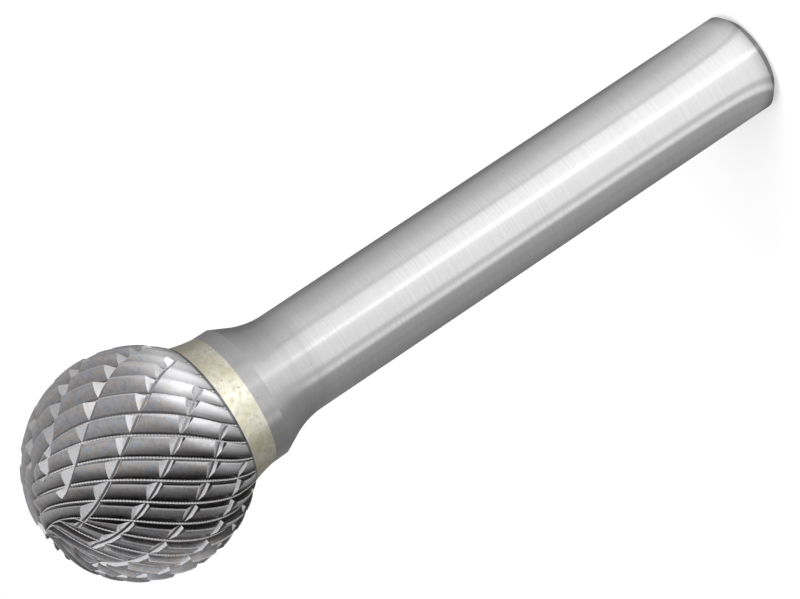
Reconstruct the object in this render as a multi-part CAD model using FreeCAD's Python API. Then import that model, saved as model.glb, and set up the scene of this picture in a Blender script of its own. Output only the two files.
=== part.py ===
import FreeCAD, Part
import math
import os

# Rotary burr with a ball-shaped carbide head, brazed to a plain steel shank.
# Lengths are in millimetres and angles in degrees. The origin is the centre of the shank's
# end face, and +Z runs along the axis to the tip of the ball.

# Main sizes
ball_diameter = 12.7
head_base_diameter = 8.65
braze_length = 1.55
shank_diameter = 6.0
shank_length = 36.45
end_chamfer = 0.5

# Braze band and steel collar
band_neck_diameter = 7.96
band_hollow = 0.04
collar_diameter = 7.92
collar_length = 0.95
cone_diameter = 6.9
cone_length = 1.05
neck_length = 2.1
neck_flare_share = 0.28
neck_flare_place = 0.45
pilot_diameter = 5.0
pilot_depth = 2.0
pilot_chamfer = 0.3

# Flutes: right-hand gullets between saw-shaped teeth
tooth_groups = (4, 4, 5, 4, 4, 5)
flute_turn = 0.69
back_turn = 0.0055
back_turn_start = 100.0
flute_depth = 0.45
rake_share = 0.13
land_share = 0.06
foot_share = 0.87
foot_fall = 0.86
first_azimuth = -16.1

# Pinwheel at the tip, in degrees of arc on the ball
tip_offset = 2.7
tip_spacing = 8.05
tip_edge = 3.5
tip_run_in = 9.0
tip_depth_share = 0.65
blend_power = 4
pinwheel_end = 35.5

# Flutes run out just short of the back edge
rim_angle = 2.5
run_out_angle = 10.5
run_out_power = 0.6

# Chipbreakers: left-hand grooves across the teeth
breaker_count = 13
breaker_turn = -0.63
breaker_azimuth = 7.0
breaker_depth = 0.38
breaker_gentle_width = 0.78
breaker_steep_width = 0.20
breaker_start = 27.0
breaker_rim_angle = 5.0
breaker_run = 7.0
clear_height = 0.20

# Steps between the stations along a flute
tip_step = 4.0
flute_step = 6.0
run_out_step = 5.5

# Values worked out from the sizes
ball_radius = ball_diameter / 2
base_radius = head_base_diameter / 2
shank_radius = shank_diameter / 2
head_base = shank_length + braze_length
ball_centre = head_base + math.sqrt(ball_radius ** 2 - base_radius ** 2)
base_polar = 180 - math.degrees(math.asin(base_radius / ball_radius))
run_out_end = base_polar - rim_angle
run_out_start = run_out_end - run_out_angle
breaker_end = base_polar - breaker_rim_angle
tooth_count = sum(tooth_groups)
tooth_pitch = 360 / tooth_count


def arcsine(share):
    return math.degrees(math.asin(max(-1.0, min(1.0, share))))


def on_ball(polar, azimuth, depth):
    """Point below the ball's surface. The polar angle counts from the tip, and the azimuth
    counts clockwise, seen from the tip, from the side that faces -Y."""
    radius = ball_radius - depth
    turn = math.radians(azimuth)
    across = radius * math.sin(math.radians(polar))
    height = ball_centre + radius * math.cos(math.radians(polar))
    return FreeCAD.Vector(-across * math.sin(turn), -across * math.cos(turn), height)


def long_gullet(place, polar):
    """Azimuth of a gullet that runs past the tip at a small offset and turns faster again
    towards the back."""
    helix = first_azimuth + tooth_pitch * place + flute_turn * polar
    helix += back_turn * max(0.0, polar - back_turn_start) ** 2
    return helix + arcsine(tip_offset / polar)


def gullet_azimuths(polar):
    """Azimuths of all gullets. Near the tip, the gullets of a group run parallel to the next
    group's long gullet, and each one starts where it meets its own group's long gullet."""
    azimuths = []
    first = 0
    for size in tooth_groups:
        own_long = long_gullet(first, polar)
        next_long = long_gullet(first + size, polar)
        azimuths.append(own_long)
        for before_next in range(size - 1, 0, -1):
            offset = before_next * tip_spacing - tip_offset
            if polar <= offset:
                azimuths.append(own_long)
                continue
            regular = before_next * tooth_pitch
            parallel = arcsine(offset / polar) + arcsine(tip_offset / polar)
            apart = (regular ** blend_power + parallel ** blend_power) ** (1 / blend_power)
            azimuths.append(max(own_long, next_long - apart))
        first += size
    azimuths.append(azimuths[0] + 360)
    return azimuths


def gullet_depth(polar):
    depth = flute_depth * max(tip_depth_share, math.sin(math.radians(polar)))
    run_in = (polar - tip_edge) / (tip_run_in - tip_edge)
    run_out = (run_out_end - polar) / run_out_angle
    return depth * max(0.0, min(1.0, run_in)) * max(0.0, min(1.0, run_out)) ** run_out_power


def tooth_ring(polar):
    """Closed outline of all teeth at one polar angle. Each tooth rises by its steep rake face
    from the gullet to a narrow land, and falls by its flat back to the foot by the next gullet."""
    depth = gullet_depth(polar)
    full_gap = max(tooth_pitch, math.degrees(tip_spacing / polar))
    azimuths = gullet_azimuths(polar)
    ring = []
    for start, end in zip(azimuths[:-1], azimuths[1:]):
        gap = end - start
        height = depth * min(1.0, gap / full_gap)
        profile = ((0, depth), (rake_share, depth - height),
                   (rake_share + land_share, depth - height),
                   (foot_share, depth - height * (1 - foot_fall)))
        for share, below in profile:
            ring.append(on_ball(polar, start + share * gap, below))
    return ring


def flat_face(points):
    corners = []
    for point in points:
        if not corners or not point.isEqual(corners[-1], 1e-6):
            corners.append(point)
    if corners[0].isEqual(corners[-1], 1e-6):
        corners.pop()
    if len(corners) < 3:
        return None
    return Part.Face(Part.makePolygon(corners + corners[:1]))


def faceted_solid(rings):
    """Solid through closed rings of points, with two flat facets between neighbouring lines."""
    faces = [flat_face(rings[0]), flat_face(rings[-1])]
    for lower, upper in zip(rings[:-1], rings[1:]):
        count = len(lower)
        for i in range(count):
            j = (i + 1) % count
            faces.append(flat_face((lower[i], lower[j], upper[j])))
            faces.append(flat_face((lower[i], upper[j], upper[i])))
    shell = Part.makeShell([face for face in faces if face])
    shell.sewShape()
    solid = Part.Solid(shell)
    if solid.Volume < 0:
        solid.reverse()
    return solid


def spread(start, end, step):
    """Even stations from start towards end, which is left out."""
    count = max(1, round((end - start) / step))
    return [start + (end - start) * i / count for i in range(count)]


def flute_stations():
    stations = spread(tip_edge, pinwheel_end, tip_step)
    stations += spread(pinwheel_end, run_out_start, flute_step)
    stations += spread(run_out_start, run_out_end, run_out_step)
    return stations + [run_out_end, base_polar]


def breaker_section(polar):
    """Groove's section square to its path: a gentle wall towards the tip and a steep one
    towards the shank, carried above the ball so that the cut is clean."""
    azimuth = breaker_azimuth + breaker_turn * (polar - 90)
    run = min(polar - breaker_start, breaker_end - polar) / breaker_run
    lift = (breaker_depth + clear_height) * (1 - min(1.0, run))
    floor = on_ball(polar, azimuth, breaker_depth)
    outward = floor - FreeCAD.Vector(0, 0, ball_centre)
    outward.normalize()
    ahead = on_ball(polar + 0.01, azimuth + 0.01 * breaker_turn, breaker_depth) - floor
    ahead.normalize()
    across = ahead.cross(outward)
    if across.z > 0:
        across = across * -1
    floor = floor + outward * lift
    top = floor + outward * (breaker_depth + clear_height)
    rise = (breaker_depth + clear_height) / breaker_depth
    tip_side = top - across * breaker_gentle_width * rise
    shank_side = top + across * breaker_steep_width * rise
    return [tip_side, floor, shank_side]


def chipbreakers():
    stations = spread(breaker_start, breaker_end, flute_step) + [breaker_end]
    groove = faceted_solid([breaker_section(polar) for polar in stations])
    grooves = []
    for i in range(breaker_count):
        copy = groove.copy()
        copy.rotate(FreeCAD.Vector(0, 0, 0), FreeCAD.Vector(0, 0, 1), i * 360 / breaker_count)
        grooves.append(copy)
    return grooves


def pilot(length, base):
    """Pin of the shank that sits in the head, pointing up from the collar's face."""
    body = Part.makeCylinder(pilot_diameter / 2, length - pilot_chamfer,
                             FreeCAD.Vector(0, 0, base))
    point = Part.makeCone(pilot_diameter / 2, pilot_diameter / 2 - pilot_chamfer, pilot_chamfer,
                          FreeCAD.Vector(0, 0, base + length - pilot_chamfer))
    return body.fuse(point)


def make_cutting_head():
    head = faceted_solid([tooth_ring(polar) for polar in flute_stations()])
    socket = pilot(pilot_depth, head_base)
    return head.cut(chipbreakers() + [socket])


def make_braze_ring():
    """Band of braze between the collar and the head, slightly hollow along its length."""
    low = FreeCAD.Vector(band_neck_diameter / 2, 0, shank_length)
    high = FreeCAD.Vector(base_radius, 0, head_base)
    middle = (low + high) * 0.5 - FreeCAD.Vector(band_hollow, 0, 0)
    inner_low = FreeCAD.Vector(pilot_diameter / 2, 0, shank_length)
    inner_high = FreeCAD.Vector(pilot_diameter / 2, 0, head_base)
    edges = [Part.Arc(low, middle, high).toShape(),
             Part.LineSegment(high, inner_high).toShape(),
             Part.LineSegment(inner_high, inner_low).toShape(),
             Part.LineSegment(inner_low, low).toShape()]
    return turned(edges)


def turned(edges):
    section = Part.Face(Part.Wire(edges))
    return section.revolve(FreeCAD.Vector(0, 0, 0), FreeCAD.Vector(0, 0, 1), 360)


def make_shank():
    """Plain shank, hollow neck, short cone and collar, turned in one piece."""
    collar_base = shank_length - collar_length
    cone_base = collar_base - cone_length
    neck_base = cone_base - neck_length
    axis_low = FreeCAD.Vector(0, 0, 0)
    end_flat = FreeCAD.Vector(shank_radius - end_chamfer, 0, 0)
    end_edge = FreeCAD.Vector(shank_radius, 0, end_chamfer)
    neck_low = FreeCAD.Vector(shank_radius, 0, neck_base)
    cone_low = FreeCAD.Vector(cone_diameter / 2, 0, cone_base)
    collar_low = FreeCAD.Vector(collar_diameter / 2, 0, collar_base)
    collar_high = FreeCAD.Vector(band_neck_diameter / 2, 0, shank_length)
    axis_high = FreeCAD.Vector(0, 0, shank_length)
    flare_radius = shank_radius + neck_flare_share * (cone_diameter / 2 - shank_radius)
    flare = FreeCAD.Vector(flare_radius, 0, cone_base - neck_flare_place * neck_length)
    edges = [Part.LineSegment(axis_low, end_flat).toShape(),
             Part.LineSegment(end_flat, end_edge).toShape(),
             Part.LineSegment(end_edge, neck_low).toShape(),
             Part.Arc(neck_low, flare, cone_low).toShape(),
             Part.LineSegment(cone_low, collar_low).toShape(),
             Part.LineSegment(collar_low, collar_high).toShape(),
             Part.LineSegment(collar_high, axis_high).toShape(),
             Part.LineSegment(axis_high, axis_low).toShape()]
    return turned(edges).fuse(pilot(braze_length + pilot_depth, shank_length))


os.makedirs("parts", exist_ok=True)
parts = {
    "shank": make_shank(),
    "braze_ring": make_braze_ring(),
    "cutting_head": make_cutting_head(),
}
for name, shape in parts.items():
    shape.exportStep("parts/" + name + ".step")
    print(name, shape.isValid(), len(shape.Solids), round(shape.Volume, 3))
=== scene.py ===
import bpy
import bmesh
import math
from mathutils import Matrix, Vector


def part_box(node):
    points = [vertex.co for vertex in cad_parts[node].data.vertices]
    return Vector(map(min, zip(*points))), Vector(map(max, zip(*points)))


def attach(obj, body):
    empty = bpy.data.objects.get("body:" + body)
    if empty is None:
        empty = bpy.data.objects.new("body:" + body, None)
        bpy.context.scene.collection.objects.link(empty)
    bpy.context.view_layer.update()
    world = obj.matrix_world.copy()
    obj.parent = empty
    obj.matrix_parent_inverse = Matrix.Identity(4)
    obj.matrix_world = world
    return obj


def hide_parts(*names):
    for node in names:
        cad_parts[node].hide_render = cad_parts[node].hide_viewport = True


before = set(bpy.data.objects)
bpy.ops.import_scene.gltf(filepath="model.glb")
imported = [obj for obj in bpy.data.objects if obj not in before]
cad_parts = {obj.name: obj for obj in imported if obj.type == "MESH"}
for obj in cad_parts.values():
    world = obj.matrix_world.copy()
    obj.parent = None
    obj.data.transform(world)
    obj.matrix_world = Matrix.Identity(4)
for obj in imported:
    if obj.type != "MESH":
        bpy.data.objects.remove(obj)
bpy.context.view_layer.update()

# Carbide ball burr on a steel shank, standing on the shank's end face.
# Lengths are in metres and angles in degrees, in the frame of the solids.
MM = 0.001

# Sizes shared with the solids
BALL_RADIUS = 6.35 * MM
BASE_RADIUS = 4.325 * MM
SHANK_RADIUS = 3.0 * MM
END_CHAMFER = 0.5 * MM
BAND_RADIUS = 3.98 * MM
BAND_HOLLOW = 0.04 * MM
COLLAR_RADIUS = 3.96 * MM
COLLAR_LENGTH = 0.95 * MM
CONE_RADIUS = 3.45 * MM
CONE_LENGTH = 1.05 * MM
NECK_LENGTH = 2.1 * MM
NECK_FLARE_SHARE = 0.28
NECK_FLARE_PLACE = 0.45
PILOT_RADIUS = 2.5 * MM

HEAD_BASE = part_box("cutting_head")[0].z
BAND_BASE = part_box("braze_ring")[0].z
BALL_CENTRE = HEAD_BASE + math.sqrt(BALL_RADIUS ** 2 - BASE_RADIUS ** 2)
BASE_POLAR = 180 - math.degrees(math.asin(BASE_RADIUS / BALL_RADIUS))

# Teeth
TOOTH_GROUPS = (4, 4, 5, 4, 4, 5)
TOOTH_COUNT = sum(TOOTH_GROUPS)
TOOTH_PITCH = 360 / TOOTH_COUNT
FLUTE_TURN = 0.69
BACK_TURN = 0.0055
BACK_TURN_START = 100.0
FLUTE_DEPTH = 0.45 * MM
FIRST_AZIMUTH = -16.1
TIP_OFFSET = 2.7
TIP_SPACING = 8.05
TIP_EDGE = 3.5
TIP_RUN_IN = 9.0
TIP_DEPTH_SHARE = 0.65
BLEND_POWER = 4
RIM_ANGLE = 2.5
RUN_OUT_ANGLE = 10.5
RUN_OUT_POWER = 0.6
RUN_OUT_END = BASE_POLAR - RIM_ANGLE
FIRST_STATION = TIP_EDGE + 0.01
STATION_STEP = 2.0

# Section of one tooth at the ball's equator, across the flute
SECTION_WIDTH = 1.263 * MM
ROOT_RADIUS = 0.09 * MM
RAKE_LEAN = 15.0
FOOT_SLOPE = 38.0
LAND_WIDTH = 0.07 * MM
BACK_BULGE = 0.22
ROOT_STEPS = 7
BACK_STEPS = 5
FOOT_STEPS = 3

# Name of the map that holds the place across and along a cut. Across, the first tooth goes from
# 1 at its gullet's root to 2 at the next one, with its crest at 1 + CREST, and so on. The faces of
# the chipbreakers are below 1. Along, the map is in millimetres.
CUT_MAP = "cut"
CREST = 0.15
BELOW_TEETH = 0.999

# Chipbreakers
BREAKER_COUNT = 13
BREAKER_TURN = -0.63
BREAKER_AZIMUTH = 7.0
BREAKER_DEPTH = 0.37 * MM
BREAKER_GENTLE = 0.58 * MM
BREAKER_STEEP = 0.20 * MM
BREAKER_FLOOR = 0.14 * MM
BREAKER_START = 27.0
BREAKER_END = BASE_POLAR - 5.0
BREAKER_RUN = 7.0
CLEAR_HEIGHT = 0.20 * MM
BREAKER_STEP = 2.0
SHORT_WAY = 0.01
# Places of a groove's four sides on the cut map: gentle wall, floor, steep wall and open top.
# The floor's place is where a tooth's foot has its painted shade.
BREAKER_PLACES = ((0.30, 0.68), (0.88, 0.92), (0.72, 0.80), (0.5, 0.5))

# Meshes
ROUND_STEPS = 256
BAND_STEPS = 12
NECK_STEPS = 14
SHARP_ANGLE = math.radians(24)
HEAD_MERGE = 0.0004 * MM
TURNED_MERGE = 0.0001 * MM


def arcsine(share):
    return math.degrees(math.asin(max(-1.0, min(1.0, share))))


def on_ball(polar, azimuth, depth):
    """Point below the ball's surface. The azimuth counts clockwise, seen from the tip, from the
    side that faces -Y."""
    radius = BALL_RADIUS - depth
    turn = math.radians(azimuth)
    across = radius * math.sin(math.radians(polar))
    height = BALL_CENTRE + radius * math.cos(math.radians(polar))
    return Vector((-across * math.sin(turn), -across * math.cos(turn), height))


def arc_lengths(stations):
    """Lengths in millimetres along the ball from its tip to some polar angles."""
    return [BALL_RADIUS / MM * math.radians(polar) for polar in stations]


def long_gullet(place, polar):
    """Azimuth of a gullet that runs past the tip at a small offset."""
    helix = FIRST_AZIMUTH + TOOTH_PITCH * place + FLUTE_TURN * polar
    helix += BACK_TURN * max(0.0, polar - BACK_TURN_START) ** 2
    return helix + arcsine(TIP_OFFSET / polar)


def gullet_azimuths(polar):
    """Azimuths of all gullets. Near the tip, the gullets of a group run parallel to the next
    group's long gullet."""
    azimuths = []
    first = 0
    for size in TOOTH_GROUPS:
        own_long = long_gullet(first, polar)
        next_long = long_gullet(first + size, polar)
        azimuths.append(own_long)
        for before_next in range(size - 1, 0, -1):
            offset = before_next * TIP_SPACING - TIP_OFFSET
            if polar <= offset:
                azimuths.append(own_long)
                continue
            regular = before_next * TOOTH_PITCH
            parallel = arcsine(offset / polar) + arcsine(TIP_OFFSET / polar)
            apart = (regular ** BLEND_POWER + parallel ** BLEND_POWER) ** (1 / BLEND_POWER)
            azimuths.append(max(own_long, next_long - apart))
        first += size
    azimuths.append(azimuths[0] + 360)
    return azimuths


def gullet_depth(polar):
    depth = FLUTE_DEPTH * max(TIP_DEPTH_SHARE, math.sin(math.radians(polar)))
    run_in = (polar - TIP_EDGE) / (TIP_RUN_IN - TIP_EDGE)
    run_out = (RUN_OUT_END - polar) / RUN_OUT_ANGLE
    return depth * max(0.0, min(1.0, run_in)) * max(0.0, min(1.0, run_out)) ** RUN_OUT_POWER


def tooth_section():
    """Section of one tooth as shares of its width and depth: round root, rake face, land and
    curved back."""
    points = []
    centre_depth = FLUTE_DEPTH - ROOT_RADIUS
    last_turn = 90 - RAKE_LEAN
    for i in range(ROOT_STEPS + 1):
        turn = math.radians(last_turn * i / ROOT_STEPS)
        points.append((ROOT_RADIUS * math.sin(turn), centre_depth + ROOT_RADIUS * math.cos(turn)))
    across, depth = points[-1]
    crest = across + depth * math.tan(math.radians(RAKE_LEAN))
    points.append((crest, 0.0))
    foot_turn = math.radians(FOOT_SLOPE)
    foot = SECTION_WIDTH - ROOT_RADIUS * math.sin(foot_turn)
    foot_depth = centre_depth + ROOT_RADIUS * math.cos(foot_turn)
    back_start = crest + LAND_WIDTH
    back_width = foot - back_start
    for i in range(BACK_STEPS + 1):
        run = i / BACK_STEPS
        fall = run - BACK_BULGE * run * (1 - run)
        points.append((back_start + run * back_width, fall * foot_depth))
    for i in range(FOOT_STEPS - 1, 0, -1):
        turn = foot_turn * i / FOOT_STEPS
        points.append((SECTION_WIDTH - ROOT_RADIUS * math.sin(turn),
                       centre_depth + ROOT_RADIUS * math.cos(turn)))
    return [(across / SECTION_WIDTH, depth / FLUTE_DEPTH) for across, depth in points]


def tooth_ring(polar, section):
    """All teeth at one polar angle, as one closed ring of points."""
    depth = gullet_depth(polar)
    full_gap = max(TOOTH_PITCH, math.degrees(TIP_SPACING / polar))
    azimuths = gullet_azimuths(polar)
    ring = []
    for start, end in zip(azimuths[:-1], azimuths[1:]):
        gap = end - start
        height = depth * min(1.0, gap / full_gap)
        for share, level in section:
            ring.append(on_ball(polar, start + share * gap, depth - height * (1 - level)))
    return ring


def finished_mesh(name, form, merge):
    """Mesh of a bmesh form, with close points merged and all faces turned outwards."""
    bmesh.ops.remove_doubles(form, verts=form.verts, dist=merge)
    bmesh.ops.dissolve_degenerate(form, edges=form.edges, dist=merge)
    bmesh.ops.recalc_face_normals(form, faces=form.faces)
    mesh = bpy.data.meshes.new(name)
    form.to_mesh(mesh)
    form.free()
    return mesh


def mesh_through(name, rings, across, along):
    """Mesh through closed rings of points, with flat ends. Its map holds each side's place
    across the cuts, from start to end, and each ring's place along them."""
    form = bmesh.new()
    cut_map = form.loops.layers.uv.new(CUT_MAP)
    rows = [[form.verts.new(point) for point in ring] for ring in rings]
    count = len(rows[0])
    for k in range(len(rows) - 1):
        low, high = rows[k], rows[k + 1]
        for i in range(count):
            j = (i + 1) % count
            face = form.faces.new((low[i], low[j], high[j], high[i]))
            start, end = across[i]
            places = ((start, along[k]), (end, along[k]), (end, along[k + 1]), (start, along[k + 1]))
            for loop, place in zip(face.loops, places):
                loop[cut_map].uv = place
    form.faces.new(list(reversed(rows[0])))
    form.faces.new(rows[-1])
    return finished_mesh(name, form, HEAD_MERGE)


def new_object(name, data):
    piece = bpy.data.objects.new(name, data)
    bpy.context.scene.collection.objects.link(piece)
    return piece


def smooth(mesh):
    mesh.shade_smooth()
    mesh.set_sharp_from_angle(angle=SHARP_ANGLE)


def head_blank():
    """Ball with all its teeth, before the chipbreakers are cut."""
    section = tooth_section()
    stations = [FIRST_STATION]
    while stations[-1] + STATION_STEP < RUN_OUT_END:
        stations.append(stations[-1] + STATION_STEP)
    stations += [RUN_OUT_END, BASE_POLAR]
    starts = [1 + tooth + share for tooth in range(TOOTH_COUNT) for share, level in section]
    across = list(zip(starts, starts[1:] + [1 + TOOTH_COUNT]))
    rings = [tooth_ring(polar, section) for polar in stations]
    return mesh_through("cutting_head_blank", rings, across, arc_lengths(stations))


def breaker_section(polar, turn):
    """Groove's section square to its path, carried above the ball so that the cut is clean."""
    azimuth = BREAKER_AZIMUTH + BREAKER_TURN * (polar - 90) + turn
    run = min(polar - BREAKER_START, BREAKER_END - polar) / BREAKER_RUN
    lift = (BREAKER_DEPTH + CLEAR_HEIGHT) * (1 - min(1.0, run))
    floor = on_ball(polar, azimuth, BREAKER_DEPTH)
    outward = (floor - Vector((0, 0, BALL_CENTRE))).normalized()
    ahead = on_ball(polar + SHORT_WAY, azimuth + SHORT_WAY * BREAKER_TURN, BREAKER_DEPTH) - floor
    across = ahead.normalized().cross(outward)
    if across.z > 0:
        across = -across
    floor = floor + outward * lift
    rise = (BREAKER_DEPTH + CLEAR_HEIGHT) / BREAKER_DEPTH
    top = floor + outward * (BREAKER_DEPTH + CLEAR_HEIGHT)
    return [top - across * BREAKER_GENTLE * rise, floor - across * BREAKER_FLOOR / 2,
            floor + across * BREAKER_FLOOR / 2, top + across * BREAKER_STEEP * rise]


def breaker_cutter():
    """All chipbreaker grooves as one mesh."""
    steps = round((BREAKER_END - BREAKER_START) / BREAKER_STEP)
    step = (BREAKER_END - BREAKER_START) / steps
    stations = [BREAKER_START + k * step for k in range(steps + 1)]
    form = bmesh.new()
    for i in range(BREAKER_COUNT):
        turn = i * 360 / BREAKER_COUNT
        rings = [breaker_section(polar, turn) for polar in stations]
        groove = mesh_through("breaker_groove", rings, BREAKER_PLACES, arc_lengths(stations))
        form.from_mesh(groove)
        bpy.data.meshes.remove(groove)
    mesh = bpy.data.meshes.new("breaker_grooves")
    form.to_mesh(mesh)
    form.free()
    return mesh


def make_cutting_head(material):
    blank = new_object("carbide_head_blank", head_blank())
    cutter = new_object("breaker_cutter", breaker_cutter())
    cut = blank.modifiers.new("chipbreakers", "BOOLEAN")
    cut.operation = "DIFFERENCE"
    cut.solver = "EXACT"
    cut.object = cutter
    graph = bpy.context.evaluated_depsgraph_get()
    mesh = bpy.data.meshes.new_from_object(blank.evaluated_get(graph))
    mesh.name = "carbide_head"
    bpy.data.objects.remove(blank)
    bpy.data.objects.remove(cutter)
    piece = new_object("carbide_head", mesh)
    smooth(mesh)
    mesh.materials.clear()
    mesh.materials.append(material)
    return piece


def turned(name, profile, material):
    """Piece turned from a profile of (radius, height) points, closed back to its start."""
    form = bmesh.new()
    columns = []
    for i in range(ROUND_STEPS):
        turn = 2 * math.pi * i / ROUND_STEPS
        columns.append([form.verts.new((radius * math.cos(turn), radius * math.sin(turn), height))
                        for radius, height in profile])
    count = len(profile)
    for i in range(ROUND_STEPS):
        near, far = columns[i], columns[(i + 1) % ROUND_STEPS]
        for k in range(count):
            m = (k + 1) % count
            form.faces.new((near[k], far[k], far[m], near[m]))
    mesh = finished_mesh(name, form, TURNED_MERGE)
    smooth(mesh)
    mesh.materials.append(material)
    return new_object(name, mesh)


def arc_points(start, middle, end, steps):
    """Points on the circle through three points of a profile, from start to end."""
    (x1, y1), (x2, y2), (x3, y3) = start, middle, end
    square1, square2, square3 = x1 * x1 + y1 * y1, x2 * x2 + y2 * y2, x3 * x3 + y3 * y3
    divisor = 2 * (x1 * (y2 - y3) + x2 * (y3 - y1) + x3 * (y1 - y2))
    centre_x = (square1 * (y2 - y3) + square2 * (y3 - y1) + square3 * (y1 - y2)) / divisor
    centre_y = (square1 * (x3 - x2) + square2 * (x1 - x3) + square3 * (x2 - x1)) / divisor
    radius = math.hypot(x1 - centre_x, y1 - centre_y)
    first = math.atan2(y1 - centre_y, x1 - centre_x)
    last = math.atan2(y3 - centre_y, x3 - centre_x)
    sweep = (last - first + math.pi) % (2 * math.pi) - math.pi
    turns = [first + sweep * i / steps for i in range(steps + 1)]
    return [(centre_x + radius * math.cos(turn), centre_y + radius * math.sin(turn))
            for turn in turns]


def make_braze_band(material):
    low = (BAND_RADIUS, BAND_BASE)
    high = (BASE_RADIUS, HEAD_BASE)
    middle = ((low[0] + high[0]) / 2 - BAND_HOLLOW, (low[1] + high[1]) / 2)
    profile = arc_points(low, middle, high, BAND_STEPS)
    profile += [(PILOT_RADIUS, HEAD_BASE), (PILOT_RADIUS, BAND_BASE)]
    return turned("braze_band", profile, material)


def make_shank(material):
    collar_base = BAND_BASE - COLLAR_LENGTH
    cone_base = collar_base - CONE_LENGTH
    neck_base = cone_base - NECK_LENGTH
    flare_radius = SHANK_RADIUS + NECK_FLARE_SHARE * (CONE_RADIUS - SHANK_RADIUS)
    flare = (flare_radius, cone_base - NECK_FLARE_PLACE * NECK_LENGTH)
    profile = [(0, 0), (SHANK_RADIUS - END_CHAMFER, 0), (SHANK_RADIUS, END_CHAMFER)]
    profile += arc_points((SHANK_RADIUS, neck_base), flare, (CONE_RADIUS, cone_base), NECK_STEPS)
    profile += [(COLLAR_RADIUS, collar_base), (BAND_RADIUS, BAND_BASE), (0, BAND_BASE)]
    return turned("steel_shank", profile, material)


class Nodes:
    """Small helper that adds nodes to a node tree and links them."""

    def __init__(self, tree):
        self.tree = tree

    def add(self, kind, **values):
        """Adds a node. Each value goes to its setting of that name, or else to that input."""
        node = self.tree.nodes.new(kind)
        for key, value in values.items():
            if hasattr(node, key):
                setattr(node, key, value)
            else:
                node.inputs[key.replace("_", " ")].default_value = value
        return node

    def link(self, source, target):
        self.tree.links.new(source, target)

    def feed(self, socket, value):
        """Sets a socket to a number, or links it."""
        if isinstance(value, (int, float)):
            socket.default_value = value
        else:
            self.link(value, socket)

    def math(self, operation, first, second=0.0):
        node = self.add("ShaderNodeMath", operation=operation)
        self.feed(node.inputs[0], first)
        self.feed(node.inputs[1], second)
        return node.outputs[0]

    def split(self, vector):
        """X, Y and Z of a vector."""
        node = self.add("ShaderNodeSeparateXYZ")
        self.link(vector, node.inputs[0])
        return node.outputs

    def stretch(self, vector, scales):
        node = self.add("ShaderNodeVectorMath", operation="MULTIPLY")
        self.link(vector, node.inputs[0])
        node.inputs[1].default_value = scales
        return node.outputs[0]

    def object_mm(self):
        """Place on the object, in millimetres."""
        return self.stretch(self.add("ShaderNodeTexCoord").outputs["Object"], (1000, 1000, 1000))

    def noise(self, vector, scale, detail):
        node = self.add("ShaderNodeTexNoise", Scale=scale, Detail=detail)
        self.link(vector, node.inputs["Vector"])
        return node.outputs["Fac"]

    def levels(self, value, low, high, out_low=0.0, out_high=1.0):
        """Maps low..high to out_low..out_high, and clamps."""
        node = self.add("ShaderNodeMapRange")
        self.link(value, node.inputs["Value"])
        for name, number in (("From Min", low), ("From Max", high),
                             ("To Min", out_low), ("To Max", out_high)):
            node.inputs[name].default_value = number
        return node.outputs["Result"]

    def zone(self, value, rise, fall):
        """1 between two soft edges and 0 outside them."""
        return self.math("MULTIPLY", self.levels(value, *rise), self.levels(value, *fall, 1.0, 0.0))

    def patches(self, vector, scale, detail, low, high):
        """Patches of noise: 0 below the low edge and 1 above the high one."""
        return self.levels(self.noise(vector, scale, detail), low, high)

    def spots(self, vector, scale, detail, low, high):
        """Spots of noise: 1 below the low edge and 0 above the high one."""
        return self.levels(self.noise(vector, scale, detail), low, high, 1.0, 0.0)

    def blend(self, share, first, second):
        """Mixes two colours, which are sockets or plain (r, g, b)."""
        node = self.add("ShaderNodeMix", data_type="RGBA")
        self.feed(node.inputs[0], share)
        for socket, colour in ((node.inputs[6], first), (node.inputs[7], second)):
            if isinstance(colour, tuple):
                socket.default_value = (*colour, 1)
            else:
                self.link(colour, socket)
        return node.outputs[2]

    def blend_part(self, share, strength, first, second):
        """Mixes two colours, with the second one never above a strength."""
        return self.blend(self.math("MULTIPLY", share, strength), first, second)

    def bump(self, height, distance, below=None):
        node = self.add("ShaderNodeBump", Distance=distance)
        self.link(height, node.inputs["Height"])
        if below:
            self.link(below, node.inputs["Normal"])
        return node.outputs["Normal"]


def new_material(name):
    material = bpy.data.materials.new(name)
    material.use_nodes = True
    material.node_tree.nodes.clear()
    return material, Nodes(material.node_tree)


def new_metal(name, anisotropic=0.0):
    material, nodes = new_material(name)
    output = nodes.add("ShaderNodeOutputMaterial")
    shader = nodes.add("ShaderNodeBsdfPrincipled", Metallic=1.0, Anisotropic=anisotropic)
    nodes.link(shader.outputs[0], output.inputs[0])
    return material, nodes, shader


# The patterns of the materials are noise. Each one has a scale and a detail, and those that are
# cut to patches or spots also have a low and a high edge.

# Carbide: colours, and how strong they get
CARBIDE_BLUE = (0.64, 0.69, 0.77)
CARBIDE_BROWN = (0.76, 0.69, 0.64)
CARBIDE_STAIN = (0.50, 0.47, 0.47)
# Pale colour: a lighter zone near the collar, and the painted highlights on the chipbreaker walls
CARBIDE_PALE_AND_HIGHLIGHT = (0.90, 0.90, 0.92)
# Painted shade in the gullets and on the backs of the teeth
CARBIDE_PAINTED_SHADE = (0.05, 0.047, 0.045)
# Painted highlight along the roots and the lands
CARBIDE_PAINTED_HIGHLIGHT = (0.96, 0.96, 0.97)
# Painted shade along the rim where the flutes end
CARBIDE_RIM_SHADE = (0.12, 0.14, 0.18)
STAIN_STRENGTH = 0.55
MARK_STRENGTH = 0.20
LIGHTER_STRENGTH = 0.85
# Strengths of the painted shade on the tooth backs and gullet walls, weaker on the lit side and on
# one side of the ball
BACK_STRENGTH = 0.92
LIT_BACK_SHARE = 0.35
WALL_SHADE_STRENGTH = 0.92
LIT_WALL_SHADE_STRENGTH = 0.50
PALE_WALL_SHADE_SHARE = 0.45
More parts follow.
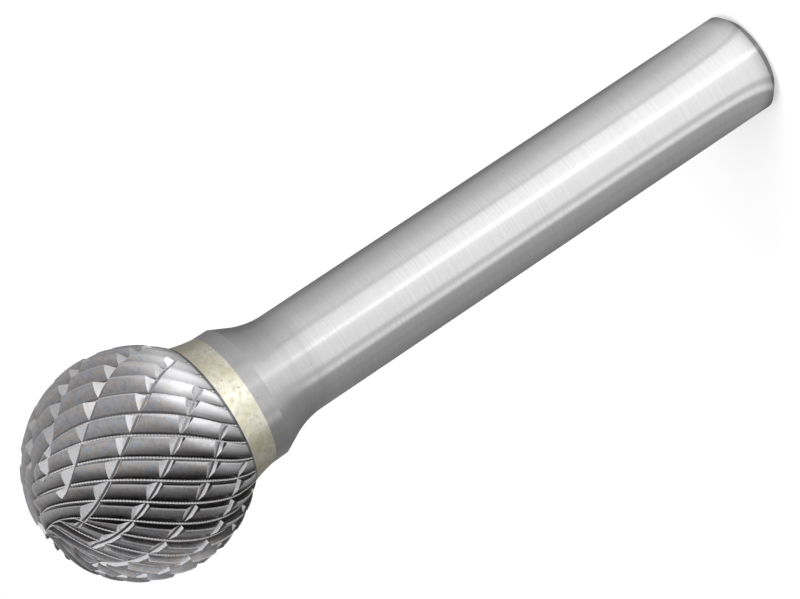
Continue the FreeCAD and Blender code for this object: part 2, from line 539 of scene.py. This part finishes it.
# Painted highlights on the chipbreakers' gentle walls, dimmer on two sides of the ball
DIM_HIGHLIGHT_SHARE = 0.12
FAR_HIGHLIGHT_SHARE = 0.30
# Gaps in the dotted painted highlight along the roots, and strength of the painted highlight along
# the lands
ROOT_GAP_STRENGTH = 0.15
LAND_STRENGTH = 0.6
RIM_STRENGTH = 0.75

# Carbide: patterns
MOTTLING = (3.4, 5.0, 0.38, 0.62)
STAINS = (3.6, 5.0, 0.46, 0.66)
STAIN_STRETCH = (1, 1, 1.6)
GRAIN = (26.0, 2.0)
GRAIN_HEIGHT = 0.0014 * MM
MARKS = (1.0, 3.0)
MARK_STRETCH = (34, 0.35, 1)
MARK_EDGES = (0.35, 0.7)
MARK_ROUGH_EDGES = (0.3, 0.7)
MARK_HEIGHT = 0.0026 * MM
# Dots along the painted highlight at the roots
CHATTER_PITCH = 0.16
CHATTER_SLANT = 1.5
CHATTER_EDGES = (-0.6, 0.6)

# Carbide: finish. A frosted surface is less metallic, so that its painted highlights are bright from
# all sides.
MOTTLING_ROUGHNESS = (0.20, 0.28)
MARK_ROUGHNESS = 0.08
EDGE_ROUGHNESS = 0.30
HIGHLIGHT_FROST = 0.55
EDGE_FROST = 0.75

# Soft edges of the zones across a tooth, as shares of its width: painted highlight at the root and on
# the land, painted shade on the rake face, back and foot
ROOT_END = (0.034, 0.046)
RAKE_RISE = (0.036, 0.048)
RAKE_FALL = (CREST - 0.014, CREST)
LAND_RISE = (CREST - 0.012, CREST - 0.004)
LAND_FALL = (CREST + 0.05, CREST + 0.075)
BACK_FADE = (0.36, 0.76)
FOOT_RISE = (0.83, 0.90)
FOOT_FALL = (0.948, 0.960)
ROOT_START = (0.950, 0.962)

# Soft edges across a chipbreaker: the gentle wall ends, and the steep wall has a strip of painted
# highlight and then a strip of painted shade
GENTLE_END = (0.70, 0.71)
HIGHLIGHT_STRIP_END = (0.745, 0.749)
SHADE_STRIP_END = (0.81, 0.82)

# The painted shade of the rim where the flutes end, as a place along them in millimetres
RIM_PLACE = BALL_RADIUS / MM * math.radians(RUN_OUT_END)
RIM_EDGES = (RIM_PLACE - 0.03, RIM_PLACE + 0.03)

# Sides of the ball where the painted highlights and shades are stronger or weaker, and where the
# colour is lighter near the collar: directions from its centre, and how far out along them, in
# millimetres, the change begins and ends. The rises for the lit side and for the dimmer far side of
# the painted highlights are along X.
HIGHLIGHT_SIDE = (1.0, 0.0, 0.35)
HIGHLIGHT_RISE = (-2.2, -1.4)
PALE_WALL_SIDE = (-0.8, 0.0, 0.6)
PALE_WALL_RISE = (3.9, 5.1)
LIGHTER_SIDE = (0.0, -0.35, -0.94)
LIGHTER_RISE = (3.4, 4.3)
LIT_RISE = (-1.8, 3.0)
FAR_HIGHLIGHT_RISE = (0.8, 3.8)


def ball_side(nodes, place, direction):
    """Distance in mm from the ball's centre along a direction."""
    offset = nodes.add("ShaderNodeVectorMath", operation="DOT_PRODUCT")
    nodes.link(place, offset.inputs[0])
    offset.inputs[1].default_value = direction
    return nodes.math("SUBTRACT", offset.outputs["Value"], direction[2] * BALL_CENTRE / MM)


def carbide_surface(nodes, place, mottling, marks):
    """Colour of the ground faces: grey with faint brown and blue mottling, stains and marks along
    the cuts, and lighter near the collar on the side towards -Y."""
    stains = nodes.patches(nodes.stretch(place, STAIN_STRETCH), *STAINS)
    colour = nodes.blend(mottling, CARBIDE_BLUE, CARBIDE_BROWN)
    colour = nodes.blend_part(stains, STAIN_STRENGTH, colour, CARBIDE_STAIN)
    marked = nodes.levels(marks, *MARK_EDGES, 0.0, MARK_STRENGTH)
    colour = nodes.blend(marked, colour, CARBIDE_STAIN)
    lighter = nodes.levels(ball_side(nodes, place, LIGHTER_SIDE), *LIGHTER_RISE,
                            0.0, LIGHTER_STRENGTH)
    return nodes.blend(lighter, colour, CARBIDE_PALE_AND_HIGHLIGHT)


def painted_wall_highlight(nodes, place, gentle, x):
    """Painted highlight on the gentle walls of the chipbreakers: bright in the middle, dull where X
    is low and less bright where X is high."""
    wall_highlight = nodes.math("MULTIPLY", gentle,
                       nodes.levels(ball_side(nodes, place, HIGHLIGHT_SIDE), *HIGHLIGHT_RISE,
                                    DIM_HIGHLIGHT_SHARE, 1.0))
    return nodes.math("MULTIPLY", wall_highlight, nodes.levels(x, *FAR_HIGHLIGHT_RISE, 1.0, FAR_HIGHLIGHT_SHARE))


def painted_back_shade(nodes, share, lit_side):
    """How dark the painted shade on the back of a tooth gets towards its foot, weaker on the lit
    side.
    """
    return nodes.math("MULTIPLY", nodes.levels(share, *BACK_FADE, 0.0, BACK_STRENGTH),
                      nodes.levels(lit_side, 0.0, 1.0, 1.0, LIT_BACK_SHARE))


def painted_wall_shade(nodes, place, walls, lit_side):
    """How dark the painted shade on the steep walls is, weaker on the lit side and on one side of the
    ball.
    """
    wall_shade = nodes.math("MULTIPLY", walls,
                         nodes.levels(lit_side, 0.0, 1.0, WALL_SHADE_STRENGTH, LIT_WALL_SHADE_STRENGTH))
    return nodes.math("MULTIPLY", wall_shade,
                      nodes.levels(ball_side(nodes, place, PALE_WALL_SIDE), *PALE_WALL_RISE,
                                   1.0, PALE_WALL_SHADE_SHARE))


def painted_highlight_lines(nodes, cut, share, root, land):
    """How bright the painted highlights are: the dotted line along a root and the line along a land.
    """
    slant = nodes.math("ADD", cut["Y"], nodes.math("MULTIPLY", share, CHATTER_SLANT))
    chatter = nodes.math("SINE", nodes.math("MULTIPLY", slant, 2 * math.pi / CHATTER_PITCH))
    dots = nodes.math("MULTIPLY", root, nodes.levels(chatter, *CHATTER_EDGES, ROOT_GAP_STRENGTH, 1.0))
    return nodes.math("MAXIMUM", dots, nodes.math("MULTIPLY", land, LAND_STRENGTH))


def carbide_material():
    """Ground carbide, with painted shade on the gullet walls and tooth backs, a painted highlight as
    a dotted line along the roots and a line along each land, and painted highlights in the
    chipbreakers."""
    material, nodes, shader = new_metal("ground_carbide")
    place = nodes.object_mm()
    x = nodes.split(place)["X"]
    lit_side = nodes.levels(x, *LIT_RISE)
    cut_place = nodes.add("ShaderNodeUVMap", uv_map=CUT_MAP).outputs["UV"]
    cut = nodes.split(cut_place)
    share = nodes.math("FRACT", cut["X"])
    mottling = nodes.patches(place, *MOTTLING)
    marks = nodes.noise(nodes.stretch(cut_place, MARK_STRETCH), *MARKS)

    groove = nodes.math("LESS_THAN", cut["X"], BELOW_TEETH)
    gentle = nodes.math("MULTIPLY", groove, nodes.levels(share, *GENTLE_END, 1.0, 0.0))
    highlight_strip = nodes.math("MULTIPLY", groove, nodes.zone(share, GENTLE_END, HIGHLIGHT_STRIP_END))
    shade_strip = nodes.math("MULTIPLY", groove,
                            nodes.zone(share, HIGHLIGHT_STRIP_END, SHADE_STRIP_END))
    walls = nodes.math("MAXIMUM", nodes.zone(share, RAKE_RISE, RAKE_FALL),
                       nodes.zone(share, FOOT_RISE, FOOT_FALL))
    root = nodes.math("MAXIMUM", nodes.levels(share, *ROOT_END, 1.0, 0.0),
                      nodes.levels(share, *ROOT_START))
    land = nodes.zone(share, LAND_RISE, LAND_FALL)
    wall_highlight = painted_wall_highlight(nodes, place, gentle, x)

    colour = carbide_surface(nodes, place, mottling, marks)
    # Painted shade on the backs of the teeth
    back = nodes.math("MULTIPLY", painted_back_shade(nodes, share, lit_side),
                      nodes.math("SUBTRACT", 1.0, groove))
    colour = nodes.blend(back, colour, CARBIDE_PAINTED_SHADE)
    # Painted highlights on the chipbreakers' gentle walls and on a strip of their steep walls
    colour = nodes.blend(nodes.math("MAXIMUM", wall_highlight, highlight_strip), colour, CARBIDE_PALE_AND_HIGHLIGHT)
    # Painted shade on the gullet walls and on a strip of each chipbreaker's steep wall
    wall_shade = painted_wall_shade(nodes, place, nodes.math("MAXIMUM", walls, shade_strip), lit_side)
    colour = nodes.blend(wall_shade, colour, CARBIDE_PAINTED_SHADE)
    # Painted highlights along the roots and the lands
    colour = nodes.blend(painted_highlight_lines(nodes, cut, share, root, land), colour, CARBIDE_PAINTED_HIGHLIGHT)
    # Painted shade along the rim
    rim = nodes.levels(cut["Y"], *RIM_EDGES)
    colour = nodes.blend_part(rim, RIM_STRENGTH, colour, CARBIDE_RIM_SHADE)
    nodes.link(colour, shader.inputs["Base Color"])

    rough = nodes.math("ADD", nodes.levels(marks, *MARK_ROUGH_EDGES, 0.0, MARK_ROUGHNESS),
                       nodes.levels(mottling, 0.0, 1.0, *MOTTLING_ROUGHNESS))
    edges = nodes.math("MAXIMUM", root, land)
    rough = nodes.math("ADD", rough, nodes.math("MULTIPLY", edges, EDGE_ROUGHNESS))
    nodes.link(rough, shader.inputs["Roughness"])
    lines = nodes.math("MAXIMUM", root, highlight_strip)
    frosted = nodes.math("MAXIMUM", nodes.math("MULTIPLY", wall_highlight, HIGHLIGHT_FROST),
                         nodes.math("MULTIPLY", lines, EDGE_FROST))
    nodes.link(nodes.math("SUBTRACT", 1.0, frosted), shader.inputs["Metallic"])
    grain = nodes.bump(nodes.noise(place, *GRAIN), GRAIN_HEIGHT)
    nodes.link(nodes.bump(marks, MARK_HEIGHT, below=grain), shader.inputs["Normal"])
    return material


# Braze
BRAZE_PALE = (0.90, 0.87, 0.76)
BRAZE_OLIVE = (0.74, 0.69, 0.52)
BRAZE_SKIN = (0.58, 0.54, 0.40)
BRAZE_PIT = (0.24, 0.20, 0.12)
SKIN_STRENGTH = 0.45
PIT_STRENGTH = 0.8
BLOTCHES = (0.9, 5.0, 0.38, 0.64)
SKIN = (3.2, 6.0, 0.48, 0.70)
PITS = (4.0, 3.0, 0.24, 0.33)
LUMPS = (2.4, 4.0)
LUMP_HEIGHT = 0.012 * MM
PIT_DEPTH_SHARE = 0.6
SKIN_ROUGHNESS = (0.32, 0.46)


def braze_material():
    """Pale gold alloy, blotchy, with small pits and patches of dull skin."""
    material, nodes, shader = new_metal("braze_alloy")
    place = nodes.object_mm()
    skin = nodes.patches(place, *SKIN)
    pits = nodes.spots(place, *PITS)
    colour = nodes.blend(nodes.patches(place, *BLOTCHES), BRAZE_PALE, BRAZE_OLIVE)
    colour = nodes.blend_part(skin, SKIN_STRENGTH, colour, BRAZE_SKIN)
    colour = nodes.blend_part(pits, PIT_STRENGTH, colour, BRAZE_PIT)
    nodes.link(colour, shader.inputs["Base Color"])
    nodes.link(nodes.levels(skin, 0.0, 1.0, *SKIN_ROUGHNESS), shader.inputs["Roughness"])
    height = nodes.math("SUBTRACT", nodes.noise(place, *LUMPS),
                        nodes.math("MULTIPLY", pits, PIT_DEPTH_SHARE))
    nodes.link(nodes.bump(height, LUMP_HEIGHT), shader.inputs["Normal"])
    return material


# Steel. Rings and scratches run round the axis, and HEAT_RISE is in millimetres along it.
STEEL_LIGHT = (0.78, 0.78, 0.78)
STEEL_SHADE = (0.69, 0.69, 0.69)
STEEL_HEATED = (0.42, 0.42, 0.43)
STEEL_SPECK = (0.14, 0.13, 0.13)
CLOUD_STRENGTH = 0.3
HEAT_STRENGTH = 0.55
SPECK_STRENGTHS = (0.12, 0.55)
HEAT_RISE = (31.6, 33.4)
RINGS = (1.0, 4.0)
RING_STRETCH = (0.12, 0.12, 9.0)
RING_HEIGHT = 0.0012 * MM
SCRATCHES = (1.0, 2.0)
SCRATCH_STRETCH = (0.5, 0.5, 22.0)
SCRATCH_EDGES = (0.3, 0.7)
SCRATCH_HEIGHT = 0.0010 * MM
CLOUDS = (0.8, 4.0, 0.35, 0.65)
CLOUD_STRETCH = (1, 1, 0.5)
SPECKS = (3.6, 3.0, 0.22, 0.30)
SCRATCH_ROUGHNESS = (0.18, 0.27)
HEAT_ROUGHNESS = 0.08
ANISOTROPY = 0.8
QUARTER_TURN = 0.25


def steel_material():
    """Fine turned steel, with marks round the axis, dull and spotted near the braze."""
    material, nodes, shader = new_metal("turned_steel", ANISOTROPY)
    shader.inputs["Anisotropic Rotation"].default_value = QUARTER_TURN
    place = nodes.object_mm()
    heat = nodes.levels(nodes.split(place)["Z"], *HEAT_RISE)
    rings = nodes.noise(nodes.stretch(place, RING_STRETCH), *RINGS)
    scratches = nodes.noise(nodes.stretch(place, SCRATCH_STRETCH), *SCRATCHES)
    clouds = nodes.patches(nodes.stretch(place, CLOUD_STRETCH), *CLOUDS)
    specks = nodes.math("MULTIPLY", nodes.spots(place, *SPECKS),
                        nodes.levels(heat, 0.0, 1.0, *SPECK_STRENGTHS))
    colour = nodes.blend(rings, STEEL_LIGHT, STEEL_SHADE)
    colour = nodes.blend_part(clouds, CLOUD_STRENGTH, colour, STEEL_SHADE)
    colour = nodes.blend_part(heat, HEAT_STRENGTH, colour, STEEL_HEATED)
    colour = nodes.blend(specks, colour, STEEL_SPECK)
    nodes.link(colour, shader.inputs["Base Color"])
    rough = nodes.math("ADD", nodes.levels(scratches, *SCRATCH_EDGES, *SCRATCH_ROUGHNESS),
                       nodes.math("MULTIPLY", heat, HEAT_ROUGHNESS))
    nodes.link(rough, shader.inputs["Roughness"])
    tangent = nodes.add("ShaderNodeTangent", direction_type="RADIAL", axis="Z")
    nodes.link(tangent.outputs[0], shader.inputs["Tangent"])
    coarse = nodes.bump(rings, RING_HEIGHT)
    nodes.link(nodes.bump(scratches, SCRATCH_HEIGHT, below=coarse), shader.inputs["Normal"])
    return material


def dress(piece, node):
    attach(piece, "root")
    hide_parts(node)


dress(make_cutting_head(carbide_material()), "cutting_head")
dress(make_braze_band(braze_material()), "braze_ring")
dress(make_shank(steel_material()), "shank")

# Camera
LENS = 184.06
SENSOR_WIDTH = 36
CLIP_START = 0.01
CLIP_END = 20
CAMERA_PLACE = Vector((0.0, -212.55, 96.86)) * MM
CAMERA_AIM = Vector((-0.47, 0.0, 25.25)) * MM
CAMERA_ROLL = 123.78


def add_camera():
    data = bpy.data.cameras.new("camera")
    data.lens = LENS
    data.sensor_width = SENSOR_WIDTH
    data.clip_start = CLIP_START
    data.clip_end = CLIP_END
    camera = new_object("camera", data)
    forward = (CAMERA_AIM - CAMERA_PLACE).normalized()
    level = forward.to_track_quat("-Z", "Y").to_matrix()
    roll = Matrix.Rotation(math.radians(-CAMERA_ROLL), 3, "Z")
    camera.matrix_world = Matrix.Translation(CAMERA_PLACE) @ (level @ roll).to_4x4()
    bpy.context.scene.camera = camera


# Floor, world and lamp. Azimuth 0 is the camera's side, and counts clockwise seen from above.
FLOOR_SIZE = 4.0
FLOOR_COLOUR = (0.8, 0.8, 0.8, 1)
FLOOR_GLOW = 0.46
WORLD_LEVEL = 0.42
# Brightness round the burr, by azimuth, as its metal reflects the floor near it and the room
FLOOR_NEAR = ((-180, 0.16), (-140, 0.23), (-112, 0.48), (-86, 0.63), (-65, 0.84), (-50, 0.95),
              (-45, 0.82), (-41, 0.88), (-37, 1.25), (-9, 1.38), (-3, 1.90), (3, 1.21), (20, 1.12),
              (39, 1.13), (44, 0.72), (51, 0.72), (56, 1.08), (63, 1.04), (67, 0.46), (86, 0.42),
              (104, 0.37), (128, 0.28), (160, 0.20))
ROOM_FAR = ((-180, 0.43), (-140, 0.41), (-100, 0.41), (-60, 0.46), (-20, 0.51), (20, 0.58),
            (40, 0.52), (58, 0.35), (76, 0.20), (100, 0.15), (120, 0.16), (134, 0.24), (148, 0.32),
            (165, 0.43))
BRIGHTEST = 2.0
CAMERA_SIDE = 0.25
# Distances on the floor between which FLOOR_NEAR goes over into ROOM_FAR
NEAR_DISTANCE = 0.09
FAR_DISTANCE = 0.22
# The mirrored floor is dark close round the shank's foot
FOOT_RADIUS = 0.0034
FOOT_SHADE_RADIUS = 0.0052
FOOT_SHADE = 0.24
LAMP_AZIMUTH = -20
LAMP_ELEVATION = 55
LAMP_DISTANCE = 1.0
LAMP_SIZE = 0.8
LAMP_POWER = 6.0
LAMP_AIM = Vector((0, 0, 0.03))


def room_brightness(nodes, vector, levels):
    """Brightness by azimuth about the burr's axis. The colour ramp holds it as a share of
    BRIGHTEST. The gradient counts anticlockwise and has the camera's side at a quarter."""
    turn = nodes.add("ShaderNodeTexGradient", gradient_type="RADIAL")
    nodes.link(vector, turn.inputs[0])
    ramp = nodes.add("ShaderNodeValToRGB")
    stops = sorted(((CAMERA_SIDE - azimuth / 360) % 1.0, level) for azimuth, level in levels)
    while len(ramp.color_ramp.elements) < len(stops):
        ramp.color_ramp.elements.new(0.5)
    for element, (place, level) in zip(ramp.color_ramp.elements, stops):
        element.position = place
    for element, (place, level) in zip(ramp.color_ramp.elements, stops):
        shade = level / BRIGHTEST
        element.color = (shade, shade, shade, 1)
    nodes.link(turn.outputs["Fac"], ramp.inputs["Fac"])
    return nodes.math("MULTIPLY", ramp.outputs["Color"], BRIGHTEST)


def ray_kinds(nodes):
    """Whether the camera sees the surface, and whether gloss or glass does."""
    path = nodes.add("ShaderNodeLightPath")
    mirrored = nodes.math("MAXIMUM", path.outputs["Is Glossy Ray"],
                          path.outputs["Is Transmission Ray"])
    return path.outputs["Is Camera Ray"], mirrored


def mix_shaders(nodes, share, first, second):
    mix = nodes.add("ShaderNodeMixShader")
    nodes.link(share, mix.inputs[0])
    nodes.link(first, mix.inputs[1])
    nodes.link(second, mix.inputs[2])
    return mix.outputs[0]


def floor_material():
    """White to the camera, with the burr's shadow, and in reflections as bright as the tables
    say."""
    material, nodes = new_material("pale_floor")
    output = nodes.add("ShaderNodeOutputMaterial")
    lit = nodes.add("ShaderNodeBsdfDiffuse", Color=FLOOR_COLOUR).outputs[0]
    place = nodes.add("ShaderNodeNewGeometry").outputs["Position"]
    distance = nodes.add("ShaderNodeVectorMath", operation="LENGTH")
    nodes.link(place, distance.inputs[0])
    away = distance.outputs["Value"]
    far = nodes.levels(away, NEAR_DISTANCE, FAR_DISTANCE)
    close = nodes.levels(away, FOOT_RADIUS, FOOT_SHADE_RADIUS, FOOT_SHADE, 1.0)
    near_level = nodes.math("MULTIPLY", room_brightness(nodes, place, FLOOR_NEAR), close)
    near_level = nodes.math("MULTIPLY", near_level, nodes.math("SUBTRACT", 1.0, far))
    far_level = nodes.math("MULTIPLY", room_brightness(nodes, place, ROOM_FAR), far)
    reflected = nodes.add("ShaderNodeEmission")
    nodes.link(nodes.math("ADD", near_level, far_level), reflected.inputs["Strength"])
    glow = nodes.add("ShaderNodeEmission", Strength=FLOOR_GLOW)
    seen = nodes.add("ShaderNodeAddShader")
    nodes.link(glow.outputs[0], seen.inputs[0])
    nodes.link(lit, seen.inputs[1])
    to_camera, mirrored = ray_kinds(nodes)
    plain = mix_shaders(nodes, to_camera, lit, seen.outputs[0])
    nodes.link(mix_shaders(nodes, mirrored, plain, reflected.outputs[0]), output.inputs[0])
    return material


def add_floor():
    mesh = bpy.data.meshes.new("floor")
    half = FLOOR_SIZE / 2
    mesh.from_pydata([(-half, -half, 0), (half, -half, 0), (half, half, 0), (-half, half, 0)],
                     [], [(0, 1, 2, 3)])
    mesh.materials.append(floor_material())
    new_object("floor", mesh)


def add_world():
    """White to the camera, dimmer where it lights the burr, and shaded in reflections."""
    world = bpy.data.worlds.new("studio")
    bpy.context.scene.world = world
    world.use_nodes = True
    nodes = Nodes(world.node_tree)
    background = world.node_tree.nodes["Background"]
    background.inputs["Color"].default_value = (1, 1, 1, 1)
    to_camera, mirrored = ray_kinds(nodes)
    direction = nodes.add("ShaderNodeTexCoord").outputs["Generated"]
    level = nodes.math("MULTIPLY", mirrored, room_brightness(nodes, direction, ROOM_FAR))
    rest = nodes.math("MULTIPLY", nodes.math("SUBTRACT", 1.0, mirrored), WORLD_LEVEL)
    level = nodes.math("ADD", level, rest)
    nodes.link(nodes.math("MAXIMUM", level, to_camera), background.inputs["Strength"])


def add_lamp():
    """Soft square lamp that faces the burr and isn't seen in its reflections."""
    data = bpy.data.lights.new("key_lamp", "AREA")
    data.shape = "SQUARE"
    data.size = LAMP_SIZE
    data.energy = LAMP_POWER
    lamp = new_object("key_lamp", data)
    turn = math.radians(LAMP_AZIMUTH)
    rise = math.radians(LAMP_ELEVATION)
    offset = Vector((-math.sin(turn) * math.cos(rise), -math.cos(turn) * math.cos(rise),
                     math.sin(rise)))
    facing = (-offset).to_track_quat("-Z", "Y").to_matrix().to_4x4()
    lamp.matrix_world = Matrix.Translation(LAMP_AIM + offset * LAMP_DISTANCE) @ facing
    lamp.visible_glossy = False


add_camera()
add_floor()
add_world()
add_lamp()
bpy.context.scene.view_settings.view_transform = "Standard"
